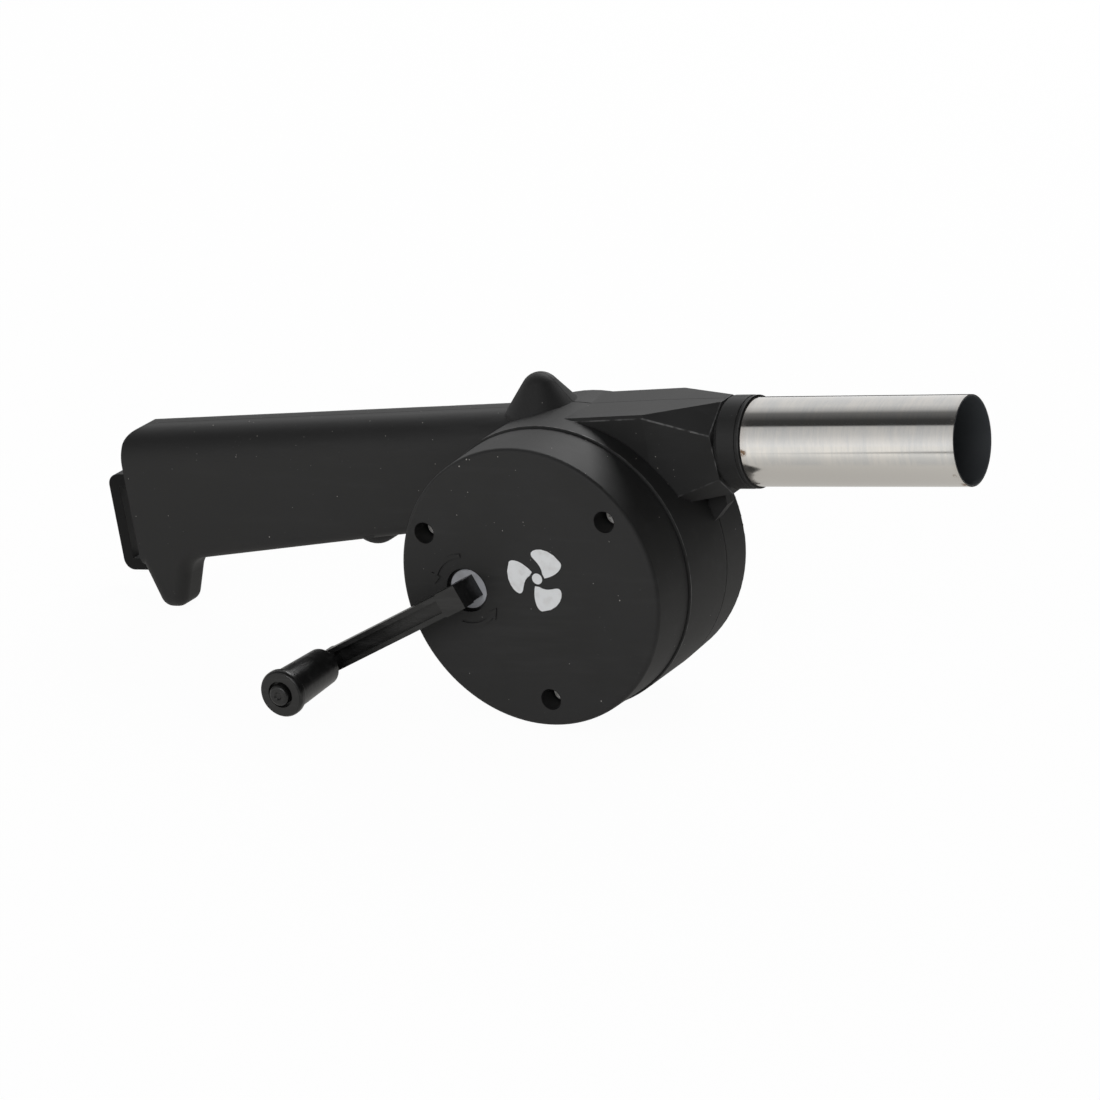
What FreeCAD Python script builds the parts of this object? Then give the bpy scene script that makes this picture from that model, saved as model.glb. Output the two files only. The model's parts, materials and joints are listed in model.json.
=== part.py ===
import FreeCAD, Part
import math
import os

# Hand crank air blower: a geared centrifugal fan in a two-part plastic drum with a pistol-like
# handle and a thin steel air pipe. Millimetres. The origin is the centre of the drum's flat rear
# face, on the fan axis. +X runs out along the air pipe, +Y out of the rear face, +Z up.

V = FreeCAD.Vector
Y_AXIS = V(0, 1, 0)
X_AXIS = V(1, 0, 0)
FAR = 400.0

# ---------------------------------------------------------------- casing, along Y
rear_depth = 13.5          # rear face to the parting plane of the two shells
front_depth = 22.0         # parting plane to the seam with the gear cover
cover_depth = 16.9         # seam to the front face of the gear cover
wall = 2.0                 # moulded wall of every casing piece
part_y = -rear_depth
seam_y = part_y - front_depth
face_y = seam_y - cover_depth

drum_radius = 42.0         # at the parting plane
drum_draft = 0.3           # lost on the radius over each casing piece
drum_swell = 0.45          # the two shells stand this much prouder at the parting plane
seam_bevel = 0.25          # on the drum's edges at the seam and the parting plane
cover_step = 0.2           # the cover is this much smaller than the shell at the seam
cover_edge = 1.2           # edge round of the front face
rear_edge = 0.8            # edge round of the rear face
lip_height = 1.6           # spigot of one casing piece inside the next
lip_wall = 1.0
lip_gap = 0.15
partition_front = 15.2     # parting plane to the front of the wall between gears and fan

# ---------------------------------------------------------------- handle and hook (X, Z)
top_drop = 0.3             # top line of handle and nozzle under the drum's crown, at X = 0
top_slope = 0.0305         # rise of the top line along X
handle_half = 12.5         # half thickness, each side of the parting plane
handle_round = 9.5         # round of the two top edges
grip_edge = 3.6            # round of the finger-side edges
handle_end = 152.0         # end face, from the fan axis
end_round = 3.8            # top rear corner
under_height = 11.9        # underside line at X = 0
under_slope = 0.109
hook_tip = 18.0            # depth of the hook's tip under the fan axis
hook_setback = 4.5         # outer corner of the tip before the handle's end face
hook_width = 7.3           # width of the tip
hook_base = 12.8           # outer corner of the tip to the root at the finger side
tip_outer_round = 4.2
tip_inner_round = 3.8
hook_round = 7.5           # blend between hook and underside

# ---------------------------------------------------------------- strap loop behind the handle
loop_reach = 15.8          # beyond the handle's end face
loop_top = 20.9
loop_bottom = -9.9
loop_bar = 3.6
loop_thick = 5.0
loop_round = 3.5

# ---------------------------------------------------------------- nozzle, collar and air pipe
pipe_radius = 12.5
pipe_wall = 0.5
pipe_end = 122.6
pipe_z = 30.3
pipe_neck = 0.3            # end in the collar drawn in by this much
pipe_stand = 0.2           # full size begins this far beyond the collar
nozzle_start = 0.0         # root section of the nozzle, inside the drum
nozzle_end = 50.2          # end of the moulded nozzle, where the collar begins
nozzle_front = 15.2        # front side of the nozzle's root, before the parting plane
nozzle_rear = 12.2         # rear side of the nozzle's root, behind the parting plane
nozzle_shoulder = 31.0     # where the square part ends and the taper begins
nozzle_lift = 0.15         # top line raised there
nozzle_under = 15.0        # height of the nozzle's underside at its root
chamfer_run = 2.5          # lower corner of the root, across Y
chamfer_rise = 1.5         # and up
corner_leg = 0.9           # flat on the two top corners
corner_share = 0.4         # share of an inset that a corner's legs lose
crest_angle = 75.0         # corners of the eight-sided mouth round the pipe's axis
crest_radius = 13.2
crease_angle = 23.4
crease_radius = 14.6
cheek_angle = -33.0
cheek_radius = 13.6
keel_angle = -71.0
keel_radius = 14.4
nozzle_wall = 1.8
seat_bore = 11.2           # of the mouth, round the collar's tail
seat_length = 4.2          # bore at the mouth that the collar's tail snaps behind
collar_groove = 0.9        # groove between nozzle and collar
groove_depth = 1.0
collar_end = 58.3
collar_radius = 13.1
collar_edge = 0.35
collar_lip = 0.7           # thin lip at the pipe side
lip_setback = 0.05
waist_setback = 0.3        # narrow line between collar and lip
spigot_wall = 1.3          # collar's sleeve inside the pipe
spigot_length = 14.0       # sleeve inside the pipe, beyond the collar
tail_length = 9.0          # sleeve inside the nozzle
pipe_seat = 5.2            # depth of the pipe in the collar
pipe_gap = 0.05
catch_height = 0.3         # ring of the tail that snaps behind the seat
catch_width = 1.8

# ---------------------------------------------------------------- bosses on the casing
ear_x = -9.3               # screw ear on top of the drum
ear_rise = 9.4             # its peak above the drum's crown
ear_half = 11.0
ear_round = 5.8
ear_sink = 1.0             # its foot under the drum's crown
bump_x = -68.8             # round pad under the handle
bump_depth = 2.6
bump_radius = 8.7
bump_y = 9.0               # half length of the pad across the handle
bump_edge = 2.5            # round of its two ends
web_x = 46.4               # gusset under the nozzle: its outer end
web_rim = 12.6             # lower edge of its end
web_low = 6.6
web_front = 2.5            # gusset in front of the parting plane
web_back = 2.0
web_root = 1.5             # gusset inside the nozzle's wall

# ---------------------------------------------------------------- screws
cover_screw_inset = 8.0    # screw circle inside the drum's side
cover_screw_angle = 33.4   # first of the three, from +X
cover_screw_x = -0.7       # centre of the screw circle
cover_screw_z = 1.0
recess_radius = 3.15
recess_depth = 6.0
post_wall = 1.0
shell_post_wall = 1.4
screw_head = 2.7
screw_head_height = 2.0
screw_shank = 1.5
screw_hole = 1.65
thread_gap = 0.02
head_gap = 0.15            # round a head in its hole
tip_gap = 0.3              # beyond a screw's tip
head_round = 0.4           # of a head's height
cover_screw_length = 14.5
shell_screw_length = 9.0
shell_seat = 4.2           # parting plane to the seat of a shell screw's head
bump_screw_rise = 5.8      # screw above the pad's underside
root_screw_gap = 9.0       # third screw beyond the drum's side
root_screw_rise = 8.0      # and above the underside
end_screw_gap = 12.0       # fourth screw before the handle's end
end_screw_drop = 10.0      # and under the top line
cross_width = 0.8
cross_reach = 1.6
cross_depth = 0.9

# ---------------------------------------------------------------- gears
pressure_angle = math.radians(25)
crank_module = 0.7
crank_teeth = 42
step_teeth = 10
wheel_module = 0.6
wheel_teeth = 40
fan_teeth = 10
backlash = 0.14
addendum = 0.8             # in modules
dedendum = 1.0
flank_points = 6
gear_width = 3.5
gear_gap = 0.8             # between the two gear planes
crank_x = -20.3
crank_z = -0.7
cover_play = 2.2           # cover's inner face to the crank gear

hub_radius = 5.75
hub_recess = 1.3           # hub face under the cover's front face
crank_hole = 6.5
hole_step = 1.6            # depth of the wide hole before the running bore
boss_depth = 1.8           # running bore's boss behind the cover wall
axle_boss_depth = 1.6
axle_seat = 0.8            # depth of the axle in the cover's wall
axle_end_gap = 0.05
running_gap = 0.05
square = 6.6               # drive square of the crank
square_gap = 0.05
square_depth = 6.2
peg_gap = 0.3              # end of the peg to the floor of its socket
spindle_radius = 4.0       # crank gear's spindle between teeth and journal
journal_radius = 3.0
shoulder_gap = 0.2         # turning shoulders to the gear plate
journal_stand = 0.3        # journal beyond the plate
compound_hub = 3.0
pinion_lead = 0.1          # step pinion in front of the crank gear

plate_x = -9.0
plate_z = -5.0
plate_radius = 25.0
plate_thick = 2.0
plate_gap = 2.6            # wheel plane to the gear plate
plate_screw_circle = 21.5
plate_screw_angles = (75, 195, 315)
plate_post = 3.0
plate_screw_length = 8.0
small_head = 2.4
small_head_height = 1.5
small_shank = 1.25
small_hole = 1.35

axle_radius = 1.25
shaft_radius = 1.5
bush_radius = 3.0
flange_radius = 4.2
flange_thick = 0.6
bush_stand = 0.5           # bush beyond the plate
washer_thick = 0.4
washer_gap = 0.05
crank_washer_radius = 4.8
shaft_nose = 0.5           # shaft in front of its pinion
shaft_end_gap = 1.0

# ---------------------------------------------------------------- fan
fan_radius = 33.0
fan_front = 2.2            # partition to the fan's disc
fan_disc = 1.5
fan_width = 19.0
fan_hub = 4.5
fan_blades = 12
blade_thick = 1.2
blade_inner = 11.0
blade_sweep = -32.0        # angle of the blade's outer end behind its root
blade_middle = -8.0
hub_front = 1.2            # hub in front of the disc
hub_back = 1.5             # blades beyond the hub
clip_radius = 4.0
clip_thick = 0.4
bearing_boss = 5.0
bearing_depth = 4.0
shaft_hole_gap = 1.0       # round the shaft in the partition
slot_count = 12
slot_inner = 10.5
slot_outer = 24.0
slot_half = 1.5

# ---------------------------------------------------------------- crank and grip
crank_angle = 203.4        # direction of the arm from the hub, from +X toward +Z
crank_throw = 48.8
arm_front = 9.5            # arm's front face before the cover's face
arm_depth = 5.0
arm_half = 3.3
block_half = 3.6           # square block at the hub
channel_half = 1.9
channel_depth = 2.6
channel_start = 0.6        # from the hub's block
channel_end = 0.2          # into the eye's rim
tap_floor = 3.0            # closed end of the crank's tapped hole, behind the arm's face
tap_gap = 0.5              # screw's tip to that floor
eye_radius = 3.5
eye_stand = 2.6            # eye in front of the arm's face, under the grip
grip_length = 22.7
grip_near = 5.5            # radius of the barrel at the arm
grip_far = 6.35             # and at the flange
grip_flange = 6.95
grip_flange_width = 2.6
grip_end_round = 1.2
grip_edge_round = 0.4
grip_bore = 2.08
pin_radius = 2.0
pin_head = 3.1
pin_stand = 1.4            # head in front of the grip's flange
pin_round = 1.0            # edge round of the head
pin_dimple = 1.2           # shallow recess in the middle of the head
pin_dimple_depth = 0.4
pin_gap = 0.1              # head to the floor of the grip's cup
cup_radius = 3.9
cup_depth = 1.8
rivet_radius = 2.7
rivet_depth = 1.0          # rivet head in the back of the arm
rivet_gap = 0.3
rivet_sink = 0.1
grip_play = 0.2

# ---------------------------------------------------------------- direction arrows on the cover
arrow_radius = 10.3
arrow_half = 0.55
arrow_sweep = 62.0
arrow_rise = 0.35
arrow_head = 1.5
arrow_angles = (122.0, 282.0)


# ================================================================ helpers
def rod(x, z, radius, y0, y1):
    """Cylinder along Y."""
    return Part.makeCylinder(radius, y1 - y0, V(x, y0, z), Y_AXIS)


def ring(x, z, outer, inner, y0, y1):
    """Tube along Y."""
    return rod(x, z, outer, y0, y1).cut(rod(x, z, inner, y0, y1))


def cone(x, z, r0, r1, y0, y1):
    """Frustum along Y."""
    return Part.makeCone(r0, r1, y1 - y0, V(x, y0, z), Y_AXIS)


def pipe(radius, x0, x1):
    """Cylinder along X on the air pipe's axis."""
    return Part.makeCylinder(radius, x1 - x0, V(x0, part_y, pipe_z), X_AXIS)


def block(x0, x1, y0, y1, z0, z1):
    return Part.makeBox(x1 - x0, y1 - y0, z1 - z0, V(x0, y0, z0))


def slab(y0, y1):
    """Everything between two planes across Y."""
    return block(-FAR, FAR, y0, y1, -FAR, FAR)


def turned(shape, x, z, degrees):
    """Copy turned about a Y-parallel axis, counted from +X toward +Z."""
    copy = shape.copy()
    copy.rotate(V(x, 0, z), Y_AXIS, -degrees)
    return copy


def moved(shape, x, y, z):
    copy = shape.copy()
    copy.translate(V(x, y, z))
    return copy


def polar(radius, degrees, x=0.0, z=0.0):
    """Point (X, Z) at a radius and an angle from +X toward +Z."""
    a = math.radians(degrees)
    return x + radius * math.cos(a), z + radius * math.sin(a)


def offset(corners, inset):
    """Outline of (x, z, radius) corners, drawn clockwise as seen from -Y, moved inward."""
    if not inset:
        return corners
    count = len(corners)
    lines = []
    for i in range(count):
        ax, az, _ = corners[i]
        bx, bz, _ = corners[(i + 1) % count]
        length = math.hypot(bx - ax, bz - az)
        nx, nz = (bz - az) / length, -(bx - ax) / length
        lines.append((ax + nx * inset, az + nz * inset, bx - ax, bz - az))
    result = []
    for i in range(count):
        px, pz, pu, pw = lines[i - 1]
        qx, qz, qu, qw = lines[i]
        cross = pu * qw - pw * qu
        t = ((qx - px) * qw - (qz - pz) * qu) / cross
        radius = corners[i][2]
        if radius:
            radius = max(radius - inset, 0.2) if cross < 0 else radius + inset
        result.append((px + pu * t, pz + pw * t, radius))
    return result


def outline(corners, y):
    """Closed wire through (x, z, radius) corners, each rounded by its radius."""
    count = len(corners)
    starts = []
    ends = []
    for i in range(count):
        x, z, radius = corners[i]
        here = V(x, y, z)
        back = (V(corners[i - 1][0], y, corners[i - 1][1]) - here).normalize()
        ahead = corners[(i + 1) % count]
        on = (V(ahead[0], y, ahead[1]) - here).normalize()
        half = back.getAngle(on) / 2
        reach = radius / math.tan(half)
        starts.append((here, here + back * reach, here + on * reach, back, on, radius, half))
        ends.append(here + on * reach)
    edges = []
    for i in range(count):
        here, first, last, back, on, radius, half = starts[i]
        if (first - ends[i - 1]).Length > 1e-6:
            edges.append(Part.LineSegment(ends[i - 1], first).toShape())
        if radius:
            middle = here + (back + on).normalize() * (radius / math.sin(half) - radius)
            edges.append(Part.Arc(first, middle, last).toShape())
    return Part.Wire(edges)


def prism(corners, y0, y1):
    """Solid between two Y planes from (x, z, radius) corners."""
    return Part.Face(outline(corners, y0)).extrude(V(0, y1 - y0, 0))


def union(first, *others):
    return first.fuse(list(others)).removeSplitter()


def carve(body, tools):
    """Cut the tools one after another, since some of them overlap."""
    for tool in tools:
        body = body.cut(tool)
    return body


def save(name, shape):
    """Write one sub-part and print its solids and volume."""
    pieces = shape.Solids
    clean = pieces[0] if len(pieces) == 1 else Part.makeCompound(pieces)
    clean.exportStep("parts/" + name + ".step")
    print(name, len(pieces), round(clean.Volume, 1), clean.isValid())


# ================================================================ derived places
top_height = drum_radius - top_drop
hook_out = handle_end - hook_setback
hook_in = hook_out - hook_width
hook_root = hook_out - hook_base
ear_peak = drum_radius + ear_rise
ear_foot = drum_radius - ear_sink
cover_screw_circle = drum_radius - cover_screw_inset


def top_z(x):
    return top_height + top_slope * x


def under_z(x):
    return under_height + under_slope * x


inner_radius = drum_radius - wall
part_front = part_y - handle_half
part_back = part_y + handle_half
partition_y = part_y - partition_front
cover_inner = face_y + wall
gear_front = cover_inner + cover_play
gear_back = gear_front + gear_width
wheel_front = gear_back + gear_gap
wheel_back = wheel_front + gear_width
plate_front = wheel_back + plate_gap
plate_back = plate_front + plate_thick
hub_face = face_y + hub_recess
fan_disc_front = partition_y + wall + fan_front
fan_rear = fan_disc_front + fan_width
arm_face = face_y - arm_front
arm_back = arm_face + arm_depth
grip_x, grip_z = polar(crank_throw, crank_angle, crank_x, crank_z)
web_top = pipe_z + keel_radius * math.sin(math.radians(keel_angle)) + web_root
cover_seat = face_y + recess_depth + screw_head_height
neck_radius = pipe_radius - pipe_neck
neck_end = collar_end + pipe_stand
sleeve_radius = neck_radius - pipe_wall - pipe_gap
tail_start = nozzle_end - tail_length
catch_end = nozzle_end - seat_length - pipe_gap
catch_start = catch_end - catch_width
hub_end = fan_rear - hub_back
bearing_front = -wall - bearing_depth
crank_seat = plate_back + journal_stand + washer_thick
grip_end = arm_face - eye_stand - grip_play
grip_face = grip_end - grip_length


def compound_place():
    """Axis where the step pinion meets the crank gear and the wheel meets the fan pinion."""
    a = crank_module * (crank_teeth + step_teeth) / 2
    b = wheel_module * (wheel_teeth + fan_teeth) / 2
    span = math.hypot(crank_x, crank_z)
    along = (b * b - a * a + span * span) / (2 * span)
    side = math.sqrt(b * b - along * along)
    ux, uz = crank_x / span, crank_z / span
    return ux * along - uz * side, uz * along + ux * side


compound_x, compound_z = compound_place()
cover_screws = [polar(cover_screw_circle, cover_screw_angle + 120 * i, cover_screw_x, cover_screw_z)
                for i in range(3)]
plate_screws = [polar(plate_screw_circle, a, plate_x, plate_z) for a in plate_screw_angles]
shell_screws = [
    (ear_x, ear_peak - ear_round),
    (bump_x, under_z(bump_x) - bump_depth + bump_screw_rise),
    (-drum_radius - root_screw_gap, under_z(-drum_radius) + root_screw_rise),
    (-handle_end + end_screw_gap, top_z(-handle_end) - end_screw_drop),
]


# ================================================================ casing forms
def bar_corners():
    """Side outline of the straight handle, run on past its end face."""
    start = -handle_end - end_round
    return [(start, FAR, 0.0), (0.0, FAR, 0.0), (0.0, under_z(0.0), 0.0), (start, under_z(start), 0.0)]


def hook_corners():
    """Side outline of the finger hook, rooted in the handle and blended into its underside."""
    lean = (handle_end - hook_out) / (hook_tip + under_z(-handle_end))
    blend = -hook_root + 2 * hook_round
    head = under_z(blend) + 2 * grip_edge
    return [(-hook_out - (head + hook_tip) * lean, head, 0.0), (blend, head, 0.0),
            (blend, under_z(blend), 0.0), (-hook_root, under_z(-hook_root), hook_round),
            (-hook_in, -hook_tip, tip_inner_round), (-hook_out, -hook_tip, tip_outer_round)]


def end_corners():
    """Side outline that ends the handle square, with its round top corner."""
    return [(-handle_end, top_z(-handle_end), end_round), (wall, top_z(wall), 0.0),
            (wall, -drum_radius, 0.0), (-handle_end, -drum_radius, 0.0)]


def top_bar(inset):
    """Bar along the sloping top line, round on its two top edges."""
    x0 = -handle_end - end_round
    top = top_z(x0) - inset
    half = handle_half - inset
    r = handle_round - inset
    low = -drum_radius - 1
    rise = r * (1 - math.sqrt(0.5))
    left, right = part_y - half, part_y + half
    edges = [
        Part.LineSegment(V(x0, left, low), V(x0, left, top - r)).toShape(),
        Part.Arc(V(x0, left, top - r), V(x0, left + rise, top - rise), V(x0, left + r, top)).toShape(),
        Part.LineSegment(V(x0, left + r, top), V(x0, right - r, top)).toShape(),
        Part.Arc(V(x0, right - r, top), V(x0, right - rise, top - rise), V(x0, right, top - r)).toShape(),
        Part.LineSegment(V(x0, right, top - r), V(x0, right, low)).toShape(),
        Part.LineSegment(V(x0, right, low), V(x0, left, low)).toShape(),
    ]
    length = handle_end + 2 * end_round
    return Part.Face(Part.Wire(edges)).extrude(V(length, 0, length * top_slope))


def soften(form, head):
    """Round the side edges of a handle form that lie below a height."""
    sides = (form.BoundBox.YMin, form.BoundBox.YMax)
    edges = [e for e in form.Edges if e.CenterOfMass.z < head and e.BoundBox.XLength > 1e-4
             and any(all(abs(v.Y - side) < 1e-4 for v in e.Vertexes) for side in sides)]
    return form.makeFillet(grip_edge, edges)


def handle_form(inset=0.0):
    """Handle, whole on both sides of the parting plane; its hook belongs to the front half."""
    form = prism(offset(bar_corners(), inset), part_front + inset, part_back - inset)
    if not inset:
        hook = prism(hook_corners(), part_front, part_y)
        form = soften(form, under_height + 1).fuse(soften(hook, hook.BoundBox.ZMax - 1))
    end = prism(offset(end_corners(), inset), part_front - 1, part_back + 1)
    return form.common(top_bar(inset)).common(end)


def nozzle_section(x, inset):
    """Corners of the nozzle's square part at x: four lower ones, then four at the top."""
    front = part_y - nozzle_front + inset
    rear = part_y + nozzle_rear - inset
    top = top_z(x) + nozzle_lift * x / nozzle_shoulder - inset
    low = nozzle_under + inset
    run = chamfer_run - corner_share * inset
    rise = chamfer_rise - corner_share * inset
    leg = corner_leg - corner_share * inset
    return [V(x, front, low + rise), V(x, front + run, low), V(x, rear - run, low),
            V(x, rear, low + rise), V(x, rear, top - leg), V(x, rear - leg, top),
            V(x, front + leg, top), V(x, front, top - leg)]


def mouth_point(x, radius, degrees, rear=False):
    """Point of a circle round the pipe's axis; degrees rise from its front or its rear side."""
    a = math.radians(degrees)
    side = 1 if rear else -1
    return V(x, part_y + side * radius * math.cos(a), pipe_z + radius * math.sin(a))


def nozzle_form(inset, end, bore=0.0):
    """A square part out of the drum, then a taper to eight corners; a bore sets all on one circle."""
    root = nozzle_section(nozzle_start, inset)
    shoulder = nozzle_section(nozzle_shoulder, inset)
    cheek, keel = (cheek_angle, bore or cheek_radius), (keel_angle, bore or keel_radius)
    crease, crest = (crease_angle, bore or crease_radius), (crest_angle, bore or crest_radius)
    corners = [(cheek, False), (keel, False), (keel, True), (cheek, True),
               (crease, True), (crest, True), (crest, False), (crease, False)]
    mouth = [mouth_point(end, radius, angle, rear) for (angle, radius), rear in corners]
    wires = [Part.makePolygon(section + section[:1]) for section in (root, shoulder, mouth)]
    return Part.makeLoft(wires, True, True)


def ear_form():
    """Bell on top of the drum round the top shell screw."""
    cz = ear_peak - ear_round
    reach = math.hypot(ear_half, cz - ear_foot)
    lean = math.acos(ear_round / reach) - math.atan2(cz - ear_foot, ear_half)
    neck = ear_round * math.cos(lean)
    neck_z = cz + ear_round * math.sin(lean)
    bell = Part.makeCone(ear_half, neck, neck_z - ear_foot, V(ear_x, part_y, ear_foot))
    foot = Part.makeCylinder(ear_half, wall, V(ear_x, part_y, ear_foot - wall))
    ball = Part.makeSphere(ear_round, V(ear_x, part_y, cz))
    return bell.fuse([foot, ball])


def rims(form, y):
    """Whole circular edges of a form in the plane y."""
    return [e for e in form.Edges if len(e.Vertexes) == 1 and abs(e.Vertexes[0].Y - y) < 1e-6]


def bump_form():
    """Round pad under the handle, below its middle screw."""
    front, back = part_y - bump_y, part_y + bump_y
    form = rod(bump_x, under_z(bump_x) - bump_depth + bump_radius, bump_radius, front, back)
    return form.makeFillet(bump_edge, rims(form, front) + rims(form, back))


def web_form():
    """Gusset between the drum and the nozzle's underside."""
    start = math.sqrt(drum_radius ** 2 - web_low ** 2) - wall / 2
    corners = [(start, web_top, 0.0), (web_x, web_top, 0.0),
               (web_x, web_rim, 0.0), (start, web_low, 0.0)]
    return prism(corners, part_y - web_front, part_y + web_back)


def drum_form(y0, y1, r0, r1):
    return cone(0.0, 0.0, r0, r1, y0, y1)


def casing(y0, y1, drum):
    """Outside of one shell: its drum with its share of handle, nozzle, ear, pad and gusset."""
    share = slab(y0, y1)
    nozzle = nozzle_form(0.0, nozzle_end)
    parts = [form.common(share) for form in
             (handle_form(), nozzle, ear_form(), bump_form(), web_form())]
    return union(drum, *parts)


def hollow(y0, y1):
    """Air and hand spaces inside the shells between two planes."""
    share = slab(y0, y1)
    handle = handle_form(wall).common(share).cut(rod(0, 0, drum_radius, y0 - 1, y1 + 1))
    duct_end = tail_start - pipe_gap
    duct = nozzle_form(nozzle_wall, duct_end, seat_bore).common(share)
    tail = pipe(seat_bore, duct_end, nozzle_end + 1).common(share)
    catch = pipe(seat_bore + catch_height, catch_start - pipe_gap, catch_end + pipe_gap).common(share)
    return [handle, duct, tail, catch]


# ================================================================ fasteners
def cross_slot(x, z, y):
    """Cross recess cut from the plane y toward +Y."""
    arm = block(x - cross_reach, x + cross_reach, y, y + cross_depth, z - cross_width / 2,
                z + cross_width / 2)
    return arm.fuse(turned(arm, x, z, 90))


def screw(x, z, seat, length, head, height, shank, side=-1):
    """Pan head screw. The head stands on the plane seat, toward -Y (side -1) or +Y (side 1)."""
    low, high = sorted((seat, seat + side * height))
    cap = rod(x, z, head, low, high)
    outer = seat + side * height
    rim = [e for e in cap.Edges if len(e.Vertexes) == 1 and abs(e.Vertexes[0].Y - outer) < 1e-6]
    cap = cap.makeFillet(height * head_round, rim)
    recess = outer if side < 0 else outer - cross_depth
    cap = cap.cut(cross_slot(x, z, recess))
    low, high = sorted((seat, seat - side * length))
    return cap.fuse(rod(x, z, shank, low, high)).removeSplitter()


# ================================================================ gear cover
def arrow(middle):
    """Raised curved arrow round the crank hole."""
    start = middle - arrow_sweep / 2
    end = middle + arrow_sweep / 2
    outer, inner = arrow_radius + arrow_half, arrow_radius - arrow_half
    top, bottom = face_y - arrow_rise, face_y
    points = []
    for radius, angles in ((outer, (start, middle, end)), (inner, (end, middle, start))):
        places = [polar(radius, a, crank_x, crank_z) for a in angles]
        points.append([V(px, top, pz) for px, pz in places])
    first, second = points
    edges = [Part.Arc(*first).toShape(), Part.LineSegment(first[2], second[0]).toShape(),
             Part.Arc(*second).toShape(), Part.LineSegment(second[2], first[0]).toShape()]
    band = Part.Face(Part.Wire(edges)).extrude(V(0, bottom - top, 0))
    point = math.degrees(2 * arrow_head / arrow_radius)
    head = [polar(arrow_radius - arrow_head, end, crank_x, crank_z) + (0.0,),
            polar(arrow_radius + arrow_head, end, crank_x, crank_z) + (0.0,),
            polar(arrow_radius, end + point, crank_x, crank_z) + (0.0,)]
    return band.fuse(prism(head, top, bottom))


def front_cover():
    outer = drum_form(face_y, seam_y, drum_radius - cover_step - 3 * drum_draft,
                      drum_radius - cover_step - drum_draft)
    outer = outer.makeFillet(cover_edge, rims(outer, face_y))
    outer = outer.makeChamfer(seam_bevel, rims(outer, seam_y))
    cup = outer.cut(rod(0, 0, inner_radius, cover_inner, seam_y))
    lip = ring(0, 0, inner_radius - lip_gap, inner_radius - lip_gap - lip_wall,
               seam_y - lip_height, seam_y + lip_height)
    post = recess_radius + post_wall
    for x, z in cover_screws:
        lip = lip.cut(rod(x, z, post + lip_gap, seam_y, seam_y + lip_height))
    bridge = ring(0, 0, inner_radius, inner_radius - lip_gap - lip_wall, seam_y - lip_height, seam_y)
    boss = rod(crank_x, crank_z, crank_hole + wall, cover_inner, cover_inner + boss_depth)
    axle_boss = rod(compound_x, compound_z, axle_radius + wall, cover_inner,
                    cover_inner + axle_boss_depth)
    posts = [rod(x, z, post, cover_inner, seam_y).common(rod(0, 0, inner_radius, face_y, seam_y))
             for x, z in cover_screws]
    body = union(cup, lip, bridge, boss, axle_boss, *posts)
    cuts = [rod(crank_x, crank_z, hub_radius + running_gap, face_y, seam_y),
            rod(crank_x, crank_z, crank_hole, face_y - 1, face_y + hole_step),
            rod(compound_x, compound_z, axle_radius + thread_gap, cover_inner - axle_seat, seam_y)]
    for x, z in cover_screws:
        cuts.append(rod(x, z, recess_radius, face_y - 1, cover_seat))
        cuts.append(rod(x, z, screw_hole, cover_seat, seam_y + 1))
    body = body.cut(cuts)
    return union(body, *[arrow(middle) for middle in arrow_angles])


# ================================================================ front shell
def front_shell():
    proud = drum_radius + drum_swell
    drum = drum_form(seam_y, part_y, proud - drum_draft, proud)
    drum = drum.makeChamfer(seam_bevel, rims(drum, seam_y) + rims(drum, part_y))
    body = casing(seam_y, part_y, drum)
    body = carve(body, hollow(seam_y, part_y) + [rod(0, 0, inner_radius, seam_y, part_y)])
    partition = ring(0, 0, inner_radius, shaft_radius + shaft_hole_gap, partition_y,
                     partition_y + wall)
    post = recess_radius + post_wall
    bosses = [rod(x, z, post, seam_y, partition_y).common(rod(0, 0, inner_radius, seam_y, part_y))
              for x, z in cover_screws]
    stands = [rod(x, z, plate_post, plate_back, partition_y) for x, z in plate_screws]
    posts = [rod(x, z, screw_shank + shell_post_wall, part_front + wall / 2, part_y)
             for x, z in shell_screws[1:]]
    body = union(body, partition, *bosses, *stands, *posts)
    tip = cover_seat + cover_screw_length + tip_gap
    cuts = [rod(x, z, screw_shank + thread_gap, seam_y - 1, tip) for x, z in cover_screws]
    tip = plate_front + plate_screw_length + tip_gap
    cuts += [rod(x, z, small_shank + thread_gap, plate_back - 1, tip) for x, z in plate_screws]
    tip = part_y + shell_seat - shell_screw_length - tip_gap
    cuts += [rod(x, z, screw_shank + thread_gap, tip, part_y + 1) for x, z in shell_screws]
    return body.cut(cuts)


# ================================================================ rear shell
def strap_loop():
    """Flat loop behind the handle's end face for a wrist strap."""
    outer = -handle_end - loop_reach
    corners = [(outer, loop_top, loop_round), (-handle_end + wall, loop_top, 0.0),
               (-handle_end + wall, loop_bottom, 0.0), (outer, loop_bottom, loop_round)]
    slot = offset([(outer, loop_top, loop_round), (-handle_end + loop_bar, loop_top, 0.0),
                   (-handle_end + loop_bar, loop_bottom, 0.0), (outer, loop_bottom, loop_round)],
                  loop_bar)
    return prism(corners, part_y, part_y + loop_thick).cut(
        prism(slot, part_y - 1, part_y + loop_thick + 1))


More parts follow.
